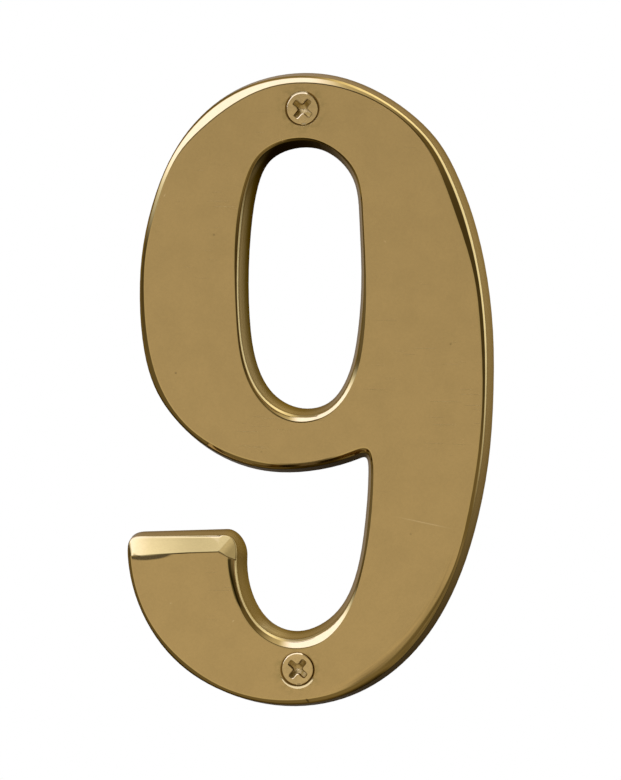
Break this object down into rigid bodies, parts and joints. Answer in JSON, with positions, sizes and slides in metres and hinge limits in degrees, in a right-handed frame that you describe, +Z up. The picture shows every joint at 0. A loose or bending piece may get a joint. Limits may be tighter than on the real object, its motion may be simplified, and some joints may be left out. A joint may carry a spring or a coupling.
{
  "type": "house number",
  "caption": "Cast brass house number in the shape of a nine, with a flat face, bevelled edges and countersunk wood screws for fixing it flat on a wall or door.",
  "frame": {"origin": "midway between the two screw axes, on the plane of the numeral's flat back", "axes": "+Z up the numeral, +X to the right as it is read, +Y into the wall along the screws; the face looks along -Y"},
  "size_m": [0.0702, 0.0254, 0.1209],
  "materials": {
    "brass_casting": "satin lacquered face, polished bevels",
    "brass_screw": "turned and lightly dulled"
  },
  "bodies": {
    "root": {"numeral": "brass_casting", "upper_screw": "brass_screw", "lower_screw": "brass_screw"}
  },
  "joints": []
}
